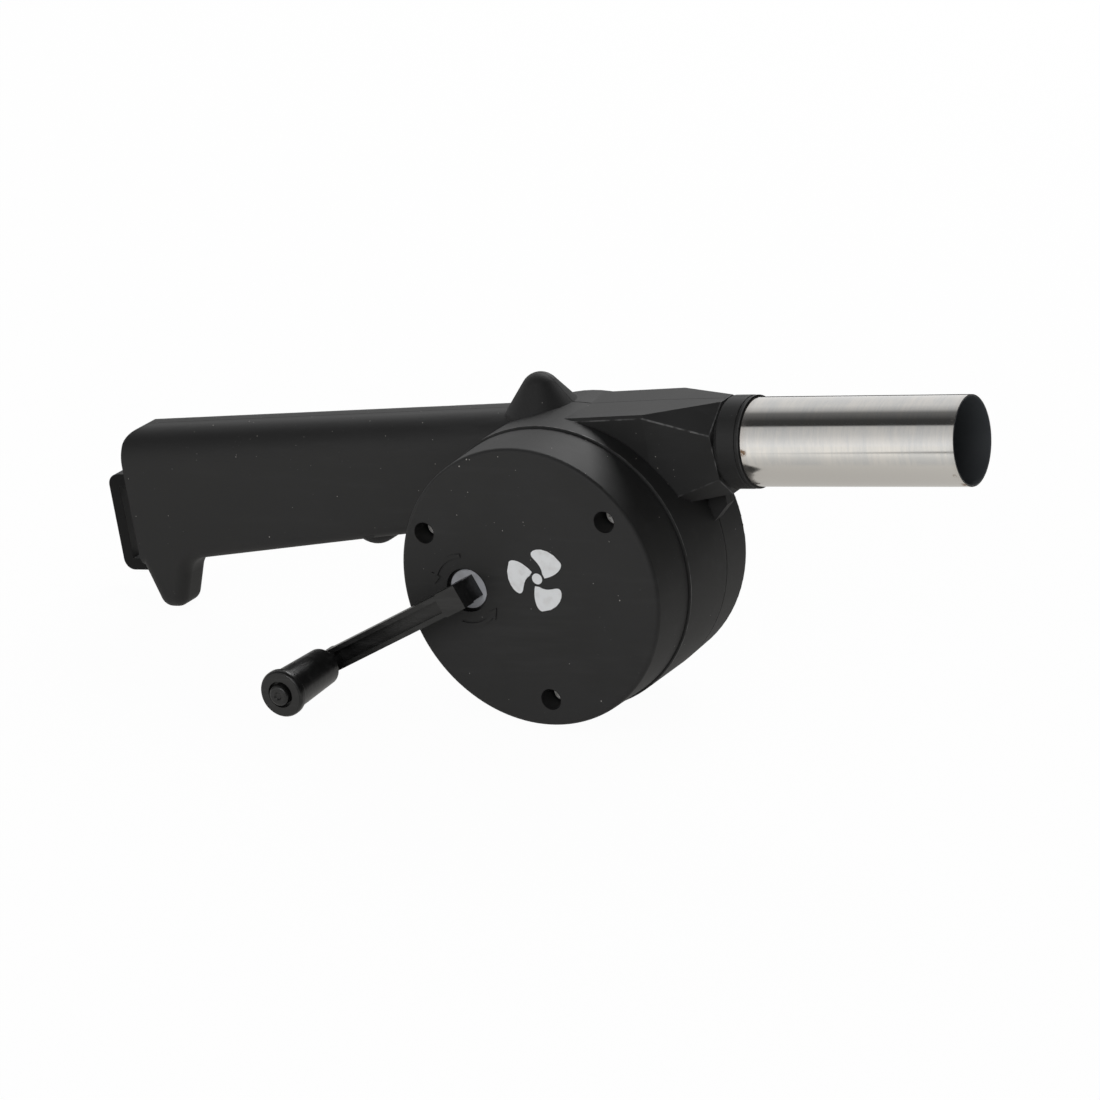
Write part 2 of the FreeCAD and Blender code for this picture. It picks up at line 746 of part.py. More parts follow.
def rear_shell():
    drum = drum_form(part_y, 0.0, drum_radius + drum_swell, drum_radius)
    drum = drum.makeFillet(rear_edge, rims(drum, 0.0))
    drum = drum.makeChamfer(seam_bevel, rims(drum, part_y))
    body = casing(part_y, part_back + wall, drum)
    body = carve(body, hollow(part_y, part_back + wall) + [rod(0, 0, inner_radius, part_y, -wall)])
    posts = [rod(x, z, screw_head + head_gap + shell_post_wall, part_y, part_back - wall / 2)
             for x, z in shell_screws[1:]]
    boss = rod(0, 0, bearing_boss, bearing_front, -wall / 2)
    body = union(body, strap_loop(), boss, *posts)
    cuts = [rod(0, 0, bush_radius, bearing_front - 1, -wall)]
    for x, z in shell_screws:
        cuts.append(rod(x, z, screw_head + head_gap, part_y + shell_seat, part_back + wall))
        cuts.append(rod(x, z, screw_hole, part_y - 1, part_y + shell_seat))
    slot = prism([(slot_inner, slot_half, slot_half), (slot_outer, slot_half, slot_half),
                  (slot_outer, -slot_half, slot_half), (slot_inner, -slot_half, slot_half)],
                 -wall - 1, 1)
    cuts += [turned(slot, 0, 0, 360 / slot_count * i) for i in range(slot_count)]
    return body.cut(cuts)


# ================================================================ collar and air pipe
def nozzle_collar():
    """Plastic ring with a tail that snaps into the nozzle and a sleeve inside the air pipe."""
    tail_radius = seat_bore - pipe_gap
    crown_start = nozzle_end + collar_groove
    tail = pipe(tail_radius, tail_start, crown_start)
    catch = pipe(tail_radius + catch_height, catch_start, catch_end)
    neck = pipe(collar_radius - groove_depth, nozzle_end, crown_start)
    crown = pipe(collar_radius, crown_start, collar_end - 2 * collar_lip)
    crown = crown.makeFillet(collar_edge, [e for e in crown.Edges if len(e.Vertexes) == 1])
    waist = pipe(collar_radius - waist_setback, crown_start + collar_lip, collar_end - collar_lip)
    lip = pipe(collar_radius - lip_setback, collar_end - collar_lip, collar_end)
    sleeve = pipe(sleeve_radius, nozzle_end, collar_end + spigot_length)
    slot = pipe(neck_radius + pipe_gap, collar_end - pipe_seat, collar_end + 1).cut(
        pipe(sleeve_radius, collar_end - pipe_seat, collar_end + 1))
    body = union(tail, catch, neck, crown, waist, lip).cut(slot)
    bore = pipe(sleeve_radius - spigot_wall, tail_start - 1, collar_end + spigot_length + 1)
    return union(body, sleeve).cut(bore)


def air_pipe():
    """Thin tube whose end is drawn in where it sits in the collar."""
    start = collar_end - pipe_seat
    body = union(pipe(neck_radius, start, neck_end), pipe(pipe_radius, neck_end, pipe_end))
    return carve(body, [pipe(neck_radius - pipe_wall, start - 1, pipe_end + 1),
                        pipe(pipe_radius - pipe_wall, neck_end + pipe_wall, pipe_end + 1)])


# ================================================================ gears
def involute(angle):
    return math.tan(angle) - angle


def spot(radius, angle, y):
    """Point at a radius and an angle in radians round the Y axis."""
    return V(radius * math.cos(angle), y, radius * math.sin(angle))


def gear(teeth, module, y0, y1, phase):
    """Spur gear on the Y axis with involute flanks, one tooth's middle at the angle phase."""
    pitch = module * teeth / 2
    base = pitch * math.cos(pressure_angle)
    tip = pitch + addendum * module
    root = pitch - dedendum * module
    half = math.pi / (2 * teeth) - backlash / 4 / pitch + involute(pressure_angle)
    low = max(base, root)
    flank = []
    for i in range(flank_points):
        radius = low + (tip - low) * i / (flank_points - 1)
        flank.append((radius, half - involute(math.acos(base / radius))))
    edges = []
    for k in range(teeth):
        middle = math.radians(phase) + 2 * math.pi * k / teeth
        ahead = middle + 2 * math.pi / teeth
        rise = [spot(r, middle - a, y0) for r, a in flank]
        fall = [spot(r, middle + a, y0) for r, a in reversed(flank)]
        up, down = Part.BSplineCurve(), Part.BSplineCurve()
        up.interpolate(rise)
        down.interpolate(fall)
        edges += [up.toShape(), Part.Arc(rise[-1], spot(tip, middle, y0), fall[0]).toShape(),
                  down.toShape()]
        foot = fall[-1]
        start = spot(low, ahead - flank[0][1], y0)
        if root < low:
            inner = spot(root, middle + flank[0][1], y0)
            outer = spot(root, ahead - flank[0][1], y0)
            edges += [Part.LineSegment(foot, inner).toShape(),
                      Part.Arc(inner, spot(root, (middle + ahead) / 2, y0), outer).toShape(),
                      Part.LineSegment(outer, start).toShape()]
        else:
            edges.append(Part.Arc(foot, spot(root, (middle + ahead) / 2, y0), start).toShape())
    return Part.Face(Part.Wire(edges)).extrude(V(0, y1 - y0, 0))


def direction(ax, az, bx, bz):
    return math.degrees(math.atan2(bz - az, bx - ax))


def square_bar(half, y0, y1):
    """Square prism on the crank axis, turned with the arm."""
    bar = block(crank_x - half, crank_x + half, y0, y1, crank_z - half, crank_z + half)
    return turned(bar, crank_x, crank_z, crank_angle)


def crank_gear():
    """Large gear with its square-socketed hub, moulded in one."""
    toward = direction(crank_x, crank_z, compound_x, compound_z)
    wheel = moved(gear(crank_teeth, crank_module, gear_front, gear_back, toward), crank_x, 0, crank_z)
    hub = rod(crank_x, crank_z, hub_radius, hub_face, gear_front)
    spindle = rod(crank_x, crank_z, spindle_radius, gear_back, plate_front - shoulder_gap)
    journal = rod(crank_x, crank_z, journal_radius, plate_front - shoulder_gap,
                  plate_back + journal_stand)
    socket = square_bar(square / 2 + square_gap, hub_face, hub_face + square_depth)
    bore = rod(crank_x, crank_z, screw_hole, hub_face, plate_back + 1)
    return union(wheel, hub, spindle, journal).cut([socket, bore])


def compound_gear():
    """Step pinion and wheel on one hub, turning on the fixed axle."""
    meets_crank = direction(compound_x, compound_z, crank_x, crank_z) + 180 / step_teeth
    meets_fan = direction(compound_x, compound_z, 0, 0)
    pinion = gear(step_teeth, crank_module, gear_front - pinion_lead, wheel_front, meets_crank)
    wheel = gear(wheel_teeth, wheel_module, wheel_front, wheel_back, meets_fan)
    hub = rod(0, 0, compound_hub, wheel_back, plate_front - washer_thick - washer_gap)
    body = union(pinion, wheel, hub).cut(rod(0, 0, axle_radius + running_gap, gear_front - 1, plate_back))
    return moved(body, compound_x, 0, compound_z)


def fan_pinion():
    toward = direction(0, 0, compound_x, compound_z) + 180 / fan_teeth
    teeth = gear(fan_teeth, wheel_module, wheel_front, wheel_back, toward)
    root = wheel_module * (fan_teeth / 2 - dedendum)
    hub = rod(0, 0, root, wheel_back, plate_front - flange_thick - shoulder_gap)
    return union(teeth, hub).cut(rod(0, 0, shaft_radius, face_y, 0))


def compound_axle():
    return rod(compound_x, compound_z, axle_radius, cover_inner - axle_seat + axle_end_gap, plate_back)


def compound_washer():
    return ring(compound_x, compound_z, compound_hub, axle_radius + thread_gap,
                plate_front - washer_thick, plate_front)


def gear_plate():
    plate = rod(plate_x, plate_z, plate_radius, plate_front, plate_back)
    cuts = [rod(crank_x, crank_z, journal_radius + running_gap, plate_front - 1, plate_back + 1),
            rod(compound_x, compound_z, axle_radius, plate_front - 1, plate_back + 1),
            rod(0, 0, bush_radius, plate_front - 1, plate_back + 1)]
    cuts += [rod(x, z, small_hole, plate_front - 1, plate_back + 1) for x, z in plate_screws]
    return plate.cut(cuts)


def plate_screw_set():
    return [screw(x, z, plate_front, plate_screw_length, small_head, small_head_height, small_shank)
            for x, z in plate_screws]


def cover_screw_set():
    return [screw(x, z, cover_seat, cover_screw_length, screw_head, screw_head_height, screw_shank)
            for x, z in cover_screws]


def shell_screw_set():
    return [screw(x, z, part_y + shell_seat, shell_screw_length, screw_head, screw_head_height,
                  screw_shank, 1) for x, z in shell_screws]


# ================================================================ fan
def front_bush():
    sleeve = rod(0, 0, bush_radius, plate_front, plate_back + bush_stand)
    flange = rod(0, 0, flange_radius, plate_front - flange_thick, plate_front)
    return union(sleeve, flange).cut(rod(0, 0, shaft_radius + running_gap, face_y, 0))


def rear_bush():
    return ring(0, 0, bush_radius, shaft_radius + running_gap, bearing_front, -wall)


def fan_shaft():
    return rod(0, 0, shaft_radius, wheel_front - shaft_nose, -wall - shaft_end_gap)


def impeller():
    disc = rod(0, 0, fan_radius, fan_disc_front, fan_disc_front + fan_disc)
    hub = rod(0, 0, fan_hub, fan_disc_front - hub_front, hub_end)
    inner = polar(blade_inner, 0)
    outer = polar(fan_radius, blade_sweep)
    middle = polar((blade_inner + fan_radius) / 2, blade_middle)
    thick = blade_thick / ((blade_inner + fan_radius) / 2)
    y0 = fan_disc_front + fan_disc / 2
    near = [V(x, y0, z) for x, z in (inner, middle, outer)]
    turn = FreeCAD.Rotation(Y_AXIS, -math.degrees(thick))
    far = [turn.multVec(p) for p in near]
    edges = [Part.Arc(*near).toShape(), Part.LineSegment(near[2], far[2]).toShape(),
             Part.Arc(*reversed(far)).toShape(), Part.LineSegment(far[0], near[0]).toShape()]
    blade = Part.Face(Part.Wire(edges)).extrude(V(0, fan_rear - y0, 0))
    blades = [turned(blade, 0, 0, 360 / fan_blades * i) for i in range(fan_blades)]
    return union(disc, hub, *blades).cut(rod(0, 0, shaft_radius, face_y, 0))


def impeller_clip():
    return ring(0, 0, clip_radius, shaft_radius, hub_end, hub_end + clip_thick)


# ================================================================ crank and grip
def crank_arm():
    """Arm with a square peg into the hub and a round eye for the grip pin."""
    peg = square_bar(square / 2, arm_face, hub_face + square_depth - peg_gap)
    reach = crank_x + crank_throw
    bar = block(crank_x, reach, arm_face, arm_back, crank_z - arm_half, crank_z + arm_half)
    eye = rod(reach, crank_z, eye_radius, arm_face - eye_stand, arm_back)
    channel = block(crank_x + block_half + channel_start, reach - eye_radius + channel_end, arm_face,
                    arm_face + channel_depth, crank_z - channel_half, crank_z + channel_half)
    arm = turned(union(bar.cut(channel), eye), crank_x, crank_z, crank_angle)
    head = square_bar(block_half, arm_face, arm_back)
    tapped = rod(crank_x, crank_z, screw_shank + thread_gap, arm_face + tap_floor,
                 hub_face + square_depth)
    pin_hole = rod(grip_x, grip_z, pin_radius, arm_face - eye_stand - 1, arm_back + 1)
    rivet = rod(grip_x, grip_z, rivet_radius + rivet_gap, arm_back - rivet_depth, arm_back + 1)
    return union(peg, arm, head).cut([tapped, pin_hole, rivet])


def crank_screw():
    length = crank_seat - arm_face - tap_floor - tap_gap
    return screw(crank_x, crank_z, crank_seat, length, screw_head, screw_head_height, screw_shank, 1)


def crank_washer():
    return ring(crank_x, crank_z, crank_washer_radius, screw_shank + thread_gap,
                crank_seat - washer_thick, crank_seat)


def rim_edges(body, radius, y):
    """Whole circles of a radius round the grip's axis in the plane y."""
    return [e for e in body.Edges if len(e.Vertexes) == 1 and abs(e.Vertexes[0].Y - y) < 1e-6
            and abs(e.Length - 2 * math.pi * radius) < 1e-3]


def crank_grip():
    """Turning grip: a slightly tapered barrel with a flange at the free end."""
    barrel = cone(grip_x, grip_z, grip_far, grip_near, grip_face, grip_end)
    barrel = barrel.makeFillet(grip_edge_round, rim_edges(barrel, grip_near, grip_end))
    flange_end = grip_face + grip_flange_width
    flange = rod(grip_x, grip_z, grip_flange, grip_face, flange_end)
    flange = flange.makeFillet(grip_end_round, rim_edges(flange, grip_flange, grip_face))
    flange = flange.makeFillet(grip_edge_round, rim_edges(flange, grip_flange, flange_end))
    return union(barrel, flange).cut([
        rod(grip_x, grip_z, grip_bore, grip_face - 1, grip_end + 1),
        rod(grip_x, grip_z, cup_radius, grip_face - 1, grip_face + cup_depth)])


def grip_pin():
    """Riveted pin with a round head in the grip's cup."""
    seat = grip_face + cup_depth - pin_gap
    front = grip_face - pin_stand
    head = rod(grip_x, grip_z, pin_head, front, seat)
    head = head.makeFillet(pin_round, rims(head, front))
    head = head.cut(cone(grip_x, grip_z, pin_dimple, pin_dimple - pin_dimple_depth,
                         front, front + pin_dimple_depth))
    end = arm_back - rivet_sink
    shaft = rod(grip_x, grip_z, pin_radius, seat, end)
    rivet = rod(grip_x, grip_z, rivet_radius, arm_back - rivet_depth, end)
    return union(head, shaft, rivet)


# ================================================================ write every sub-part
os.makedirs("parts", exist_ok=True)
for make in (front_cover, front_shell, rear_shell, nozzle_collar, air_pipe, gear_plate,
             compound_axle, compound_washer, front_bush, rear_bush, crank_gear, crank_arm,
             crank_screw, crank_washer, grip_pin, crank_grip, compound_gear, fan_pinion,
             fan_shaft, impeller, impeller_clip):
    save(make.__name__, make())
save("cover_screws", Part.makeCompound(cover_screw_set()))
save("gear_plate_screws", Part.makeCompound(plate_screw_set()))
save("shell_screws", Part.makeCompound(shell_screw_set()))
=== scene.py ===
# %% [markdown]
# # A hand crank air blower
# The blower is a black plastic drum on a handle. A crank on the drum's front turns a fan
# inside it, and a steel pipe carries the air out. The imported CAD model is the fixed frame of
# this scene: every node already has its shape and its place, in metres, so this script adds
# finishes, the small printed mark, the light, the floor and the camera.

# %% Load the frame
import json
import math

import bmesh
import bpy
from mathutils import Matrix, Vector


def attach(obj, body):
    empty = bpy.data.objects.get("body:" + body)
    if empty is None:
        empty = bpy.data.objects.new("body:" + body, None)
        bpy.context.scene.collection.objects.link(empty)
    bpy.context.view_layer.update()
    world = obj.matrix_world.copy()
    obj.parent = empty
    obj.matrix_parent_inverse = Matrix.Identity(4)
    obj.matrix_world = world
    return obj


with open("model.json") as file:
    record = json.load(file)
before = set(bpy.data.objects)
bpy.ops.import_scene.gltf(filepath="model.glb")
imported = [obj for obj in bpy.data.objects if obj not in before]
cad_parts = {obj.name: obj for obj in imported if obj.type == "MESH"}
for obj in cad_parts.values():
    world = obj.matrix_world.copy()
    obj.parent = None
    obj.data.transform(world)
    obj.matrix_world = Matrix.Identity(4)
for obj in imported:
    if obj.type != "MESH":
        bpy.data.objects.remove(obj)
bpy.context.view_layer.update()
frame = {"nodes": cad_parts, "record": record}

nodes = frame["nodes"]
scene = bpy.context.scene
scene.view_settings.view_transform = "Standard"
MM = 0.001
print("nodes in the frame:", len(nodes))

# %% [markdown]
# ## Places that the finishes need
# A finish that follows the shape, such as a parting line or the heat tint on the pipe, has to
# know where the shape is. The numbers are the CAD's own, in millimetres: Y runs from the
# crank side (negative) to the drum's flat back (zero), and the pipe's axis is parallel to X.

# %% Places on the blower, in millimetres
COVER_FACE_Y = -52.4
COVER_SEAM_Y = -35.5
PARTING_Y = -13.5
DRUM_RADIUS = 42.0
PIPE_Z = 30.3
PIPE_RADIUS = 12.5
COLLAR_END_X = 58.3
PIPE_END_X = 122.6
NOZZLE_SHOULDER_X = 31.0
NOZZLE_END_X = 50.2
NOZZLE_FRONT_Y = -28.7

# Corners of the nozzle's front side, between which its edges run.
TOP_ROOT = (6.0, NOZZLE_FRONT_Y, 41.1)
TOP_SHOULDER = (NOZZLE_SHOULDER_X, NOZZLE_FRONT_Y, 41.9)
TOP_MOUTH = (NOZZLE_END_X, -26.9, 36.1)
LOW_SHOULDER = (NOZZLE_SHOULDER_X, NOZZLE_FRONT_Y, 16.5)
LOW_MOUTH = (NOZZLE_END_X, -24.9, 22.9)
print("pipe runs from", COLLAR_END_X, "to", PIPE_END_X)

# %% [markdown]
# ## The camera
# A long lens from the front right, a little above the object, keeps the drum's round face
# nearly undistorted. The camera is rolled by about ten degrees, because the blower leans: it
# stands on its drum and on the tip of its finger hook.

# %% Camera
CAMERA_PLACE = Vector((0.580762, -0.970615, 0.334982))
CAMERA_RIGHT = Vector((0.862286, 0.480944, -0.158609))
CAMERA_UP = Vector((-0.008780, 0.327347, 0.944863))
CAMERA_BACK = Vector((0.506346, -0.813349, 0.286489))
SENSOR_WIDTH, FOCAL_LENGTH = 36.0, 133.57


def make_camera():
    data = bpy.data.cameras.new("camera")
    data.sensor_width, data.lens = SENSOR_WIDTH, FOCAL_LENGTH
    data.clip_start, data.clip_end = 0.05, 30.0
    camera = bpy.data.objects.new("camera", data)
    turn = Matrix((CAMERA_RIGHT, CAMERA_UP, CAMERA_BACK)).transposed().to_4x4()
    camera.matrix_world = Matrix.Translation(CAMERA_PLACE) @ turn
    scene.collection.objects.link(camera)
    scene.camera = camera


make_camera()
print("camera", round(CAMERA_PLACE.length, 3), "m from the fan's axis")

# %% [markdown]
# ## Writing shader maths as plain expressions
# A finish is a small program of nodes. Written one node at a time it is hard to read, so a
# socket is wrapped in a class whose operators add Math nodes: `1 - mask * 0.5` makes two
# nodes and returns the wrapped result. Colours go through Mix nodes, because a Math node
# would turn them grey. Every other node comes from one method, `node`.

# %% A socket that can be calculated with


class Value:
    """A number socket of a node tree; an expression on it adds Math nodes."""

    def __init__(self, finish, socket):
        self.finish, self.socket = finish, socket

    def maths(self, operation, *others, clamp=False):
        sockets = dict(enumerate((self,) + others))
        settings = {"operation": operation, "use_clamp": clamp}
        return self.finish.node("ShaderNodeMath", settings, sockets)

    def __add__(self, other):
        return self.maths("ADD", other)

    def __sub__(self, other):
        return self.maths("SUBTRACT", other)

    def __mul__(self, other):
        return self.maths("MULTIPLY", other)

    def __truediv__(self, other):
        return self.maths("DIVIDE", other)

    def __rsub__(self, other):
        return self.finish.node("ShaderNodeMath", {"operation": "SUBTRACT"}, {0: other, 1: self})

    __radd__ = __add__
    __rmul__ = __mul__

    def size(self):
        return self.maths("ABSOLUTE")

    def clamped(self):
        return self.maths("ADD", 0.0, clamp=True)

    def at_least(self, other):
        return self.maths("MAXIMUM", other)

    def power(self, exponent):
        return self.maths("POWER", exponent)

    def rise(self, low, high):
        """0 up to low, 1 from high, smooth between."""
        smooth = {"interpolation_type": "SMOOTHSTEP"}
        sockets = {"Value": self, "From Min": low, "From Max": high}
        return self.finish.node("ShaderNodeMapRange", smooth, sockets)

    def near(self, place, width):
        """1 at a place, 0 from width away."""
        return 1 - (self - place).size().rise(0.0, width)


# %% A finish: one material or the world


class Finish:
    """Builds one node tree."""

    def __init__(self, tree):
        self.tree = tree
        tree.nodes.clear()

    def node(self, kind, settings=None, sockets=None, out=0):
        made = self.tree.nodes.new(kind)
        for key, value in (settings or {}).items():
            if key == "stops":
                self.set_stops(made.color_ramp, value)
            else:
                setattr(made, key, value)
        for key, value in (sockets or {}).items():
            self.plug(value, made.inputs[key])
        return Value(self, made.outputs[out]) if made.outputs else made

    def plug(self, value, socket):
        if isinstance(value, Value):
            self.tree.links.new(value.socket, socket)
        else:
            socket.default_value = value

    def set_stops(self, ramp, stops):
        while len(ramp.elements) < len(stops):
            ramp.elements.new(0.5)
        for element, (place, colour) in zip(ramp.elements, stops):
            element.position, element.color = place, colour

    def mix(self, a, b, factor):
        """From colour a to colour b as factor goes from 0 to 1."""
        return self.node("ShaderNodeMix", {"data_type": "RGBA"}, {0: factor, 6: a, 7: b}, out=2)

    def vector(self, operation, a, b, out=0):
        """One Vector Math node; a SCALE takes a number second, the others a vector."""
        second = "Scale" if operation == "SCALE" else 1
        return self.node("ShaderNodeVectorMath", {"operation": operation}, {0: a, second: b}, out)

    def millimetres(self):
        """The object's own coordinates, in millimetres, as a vector."""
        return self.vector("SCALE", self.node("ShaderNodeTexCoord", out=3), 1 / MM)

    def rays(self):
        """1 for what is seen directly or through glass, and 1 for what is mirrored."""
        path = self.node("ShaderNodeLightPath").socket.node.outputs
        straight, through, mirrored = [Value(self, path["Is " + kind + " Ray"])
                                       for kind in ("Camera", "Transmission", "Glossy")]
        return straight.at_least(through), mirrored

    def parts(self, vector):
        split = self.node("ShaderNodeSeparateXYZ", None, {0: vector})
        return [Value(self, s) for s in split.socket.node.outputs]

    def stretched(self, vector, x, y, z):
        return self.vector("MULTIPLY", vector, (x, y, z))

    def noise(self, vector, scale, detail=3.0, roughness=0.5):
        sockets = {"Vector": vector, "Scale": scale, "Detail": detail, "Roughness": roughness}
        return self.node("ShaderNodeTexNoise", None, sockets)

    def cells(self, vector, scale):
        """Distance to the middle of the nearest random cell, and that cell's random grey."""
        made = self.node("ShaderNodeTexVoronoi", None, {"Vector": vector, "Scale": scale})
        colour = Value(self, made.socket.node.outputs["Color"])
        return made, self.parts(colour)[0]


def grey(level, tint=(1.0, 1.0, 1.0)):
    return (level * tint[0], level * tint[1], level * tint[2], 1.0)


finishes, materials = {}, {}


def surface(name, colour, roughness, height, lift, metal=0.0):
    """Closes a finish: a Principled surface whose bump is lift metres high."""
    finish = finishes[name]
    relief = {"Height": height, "Distance": lift, "Strength": 1.0}
    sockets = {"Base Color": colour, "Roughness": roughness, "Metallic": metal,
               "Normal": finish.node("ShaderNodeBump", None, relief)}
    shader = finish.node("ShaderNodeBsdfPrincipled", None, sockets)
    finish.node("ShaderNodeOutputMaterial", None, {"Surface": shader})


def new_finish(name):
    materials[name] = bpy.data.materials.new(name)
    materials[name].use_nodes = True
    finishes[name] = Finish(materials[name].node_tree)
    return finishes[name]


print("shader helpers are ready")

# %% [markdown]
# ## The casing: fine-grained black moulding
# The drum, the handle and the nozzle are black plastic from a spark-eroded mould. Such a
# surface is never one flat black. It has a fine grain, cloudy flow marks, a few dust specks
# and short rubs. Thin lighter lines along the nozzle's edges, its mouth, the collar and the
# drum's rims and seams are painted highlights. The end of the handle is painted darker, as
# painted shade where less light falls. The grain is a bump; the rest changes colour and
# roughness a little. The drum's seams are real grooves in the solids.
# Only the parting line along handle, nozzle and ear is drawn, as a thin dark line.

# %% Casing plastic


def stroke(finish, place, start, end, width):
    """1 on the straight line between two points, 0 from width away."""
    line = Vector(end) - Vector(start)
    from_start = finish.vector("SUBTRACT", place, start)
    share = finish.vector("DOT_PRODUCT", from_start, line / line.length_squared, out=1)
    foot = finish.vector("SCALE", line, share.clamped())
    gap = finish.vector("DISTANCE", from_start, foot, out=1)
    return 1 - gap.rise(width * 0.3, width)


def painted_edge_highlights(finish, place, x, y, z):
    """Painted highlights: light lines on the nozzle's edges, its mouth, the collar, the drum rims
    and beside the seams.
    """
    edges = stroke(finish, place, TOP_SHOULDER, TOP_MOUTH, 0.40)
    edges = edges.at_least(stroke(finish, place, TOP_ROOT, TOP_SHOULDER, 0.34) * 0.6)
    edges = edges.at_least(stroke(finish, place, LOW_SHOULDER, LOW_MOUTH, 0.40) * 0.25)
    mouth = x.near(NOZZLE_END_X - 0.15, 0.30)
    collar = x.near(COLLAR_END_X - 0.3, 0.22) * 0.5
    edges = edges.at_least(mouth.at_least(collar) * 0.6)
    radius = (x * x + z * z).power(0.5)
    on_drum = radius.near(DRUM_RADIUS, 1.0)
    cover_rim = radius.near(DRUM_RADIUS - 0.5, 0.9) * y.near(COVER_FACE_Y + 0.3, 0.55)
    edges = edges.at_least(cover_rim * 0.8)
    edges = edges.at_least(y.near(COVER_SEAM_Y + 0.45, 0.22) * on_drum)
    return edges.at_least(y.near(PARTING_Y - 0.42, 0.20) * on_drum * 0.35)


def dust(finish, place, scale, size, share):
    """Tiny specks: a small disc in the middle of a few random cells."""
    distance, pick = finish.cells(place, scale)
    return (1 - distance.rise(size * 0.6, size)) * pick.rise(1 - share, 1 - share + 0.01)


def rubs(finish, place, turn, share):
    """Short fine scratches: long narrow cells, of which a few are drawn."""
    turned = finish.node("ShaderNodeVectorRotate", {"rotation_type": "EULER_XYZ"},
                         {"Vector": place, "Rotation": turn})
    long = finish.stretched(turned, 0.16, 2.2, 2.2)
    distance, pick = finish.cells(long, 0.45)
    return (1 - distance.rise(0.05, 0.12)) * pick.rise(1 - share, 1 - share + 0.01)


NEUTRAL_BLACK = (1.0, 1.0, 1.03)
DUST_TINT = (1.0, 0.96, 0.9)
HANDLE_END_X, HANDLE_ROOT_X = -150.0, -30.0


def make_casing():
    finish = new_finish("casing_plastic")
    place = finish.millimetres()
    x, y, z = finish.parts(place)
    grain = finish.noise(place, 4.5, 2.0, 0.6)
    cloud = finish.noise(place, 0.045, 4.0, 0.55)
    flow = finish.noise(finish.stretched(place, 0.03, 0.20, 0.22), 1.0, 3.0, 0.6)
    patchy = finish.noise(place, 0.35, 2.0, 0.5)
    # Painted highlights: lighter lines along edges, rims and seams, in patches.
    edge_highlight = painted_edge_highlights(finish, place, x, y, z) * patchy.rise(0.30, 0.62)
    coarse = dust(finish, place, scale=0.16, size=0.040, share=0.55)
    specks = coarse.at_least(dust(finish, place, scale=0.42, size=0.075, share=0.20) * 0.7)
    marks = rubs(finish, place, turn=(0.4, 0.2, 0.7), share=0.10)
    parting = y.near(PARTING_Y, 0.17)
    # Painted shade: the handle is darker towards its end, where less light falls.
    end_shade = 1 - x.rise(HANDLE_END_X, HANDLE_ROOT_X)
    tone = finish.mix(grey(0.0068), grey(0.0108, NEUTRAL_BLACK), cloud.rise(0.35, 0.7))
    tone = finish.mix(tone, grey(0.015, NEUTRAL_BLACK), flow.rise(0.50, 0.75) * 0.6)
    tone = finish.mix(tone, grey(0.002), end_shade * 0.7)
    # grey(0.14) is the painted highlight on the edges and the lighter tone of the rubs.
    tone = finish.mix(tone, grey(0.14), (edge_highlight * 0.9).at_least(marks * 0.30))
    tone = finish.mix(tone, grey(0.45, DUST_TINT), specks * 0.8)
    tone = finish.mix(tone, grey(0.001), parting)
    rough = 0.56 + cloud * 0.10 + grain * 0.06 - edge_highlight * 0.12 - marks * 0.1 + parting * 0.3
    height = grain * 0.5 + flow * 0.3 - parting * 4.0 + specks * 1.0
    surface("casing_plastic", tone, rough.clamped(), height, 0.00002)


make_casing()
print("casing_plastic made")

# %% [markdown]
# ## The crank and its grip: glossy black moulding
# The crank comes from a polished mould, so it is glossier and blacker than the casing. Thick
# parts sink as they cool, which leaves slow waves in the gloss, and the flow front leaves
# faint streaks along the arm. Both are low bumps, because they only bend the reflections.

# %% Crank plastic


def make_crank_plastic():
    finish = new_finish("crank_plastic")
    place = finish.millimetres()
    waves = finish.noise(place, 0.28, 3.0, 0.5)
    fine = finish.noise(place, 2.6, 2.0, 0.5)
    streak = finish.noise(finish.stretched(place, 0.06, 0.8, 0.8), 1.0, 3.0, 0.6)
    specks = dust(finish, place, scale=0.5, size=0.05, share=0.05)
    marks = rubs(finish, place, turn=(0.1, 0.5, 0.4), share=0.06)
    tone = finish.mix(grey(0.006), grey(0.016), streak.rise(0.4, 0.75))
    tone = finish.mix(tone, grey(0.06), marks * 0.5)
    tone = finish.mix(tone, grey(0.2), specks * 0.7)
    rough = 0.24 + waves * 0.12 + fine * 0.05 + marks * 0.2
    height = waves * 1.0 + fine * 0.15 + streak * 0.4
    surface("crank_plastic", tone, rough, height, 0.00008)


make_crank_plastic()
print("crank_plastic made")

# %% [markdown]
# ## Gears and fan: two natural mouldings
# The gears are light blue-grey acetal and the fan is off-white. Unpainted engineering plastic
# lets a little light in, so it looks soft; here that is a slight tone change and a fine
# satin. Grease darkens the gears unevenly.

# %% Gear and fan plastic


def make_light_plastic(name, clean, soiled, amount, rough):
    finish = new_finish(name)
    place = finish.millimetres()
    cloud = finish.noise(place, 0.16, 4.0, 0.6)
    fine = finish.noise(place, 2.2, 3.0, 0.6)
    specks = dust(finish, place, scale=0.6, size=0.07, share=0.08)
    tone = finish.mix(clean, soiled, (cloud.rise(0.45, 0.75) * amount + fine * 0.08).clamped())
    tone = finish.mix(tone, grey(0.12), specks * 0.5)
    surface(name, tone, rough + cloud * 0.12, fine * 0.5 + cloud * 0.3, 0.00002)


make_light_plastic("gear_plastic", clean=(0.44, 0.45, 0.48, 1.0),
                   soiled=(0.29, 0.292, 0.30, 1.0), amount=0.5, rough=0.36)
make_light_plastic("fan_plastic", clean=(0.62, 0.61, 0.57, 1.0),
                   soiled=(0.42, 0.40, 0.35, 1.0), amount=0.35, rough=0.42)
print("gear_plastic and fan_plastic made")
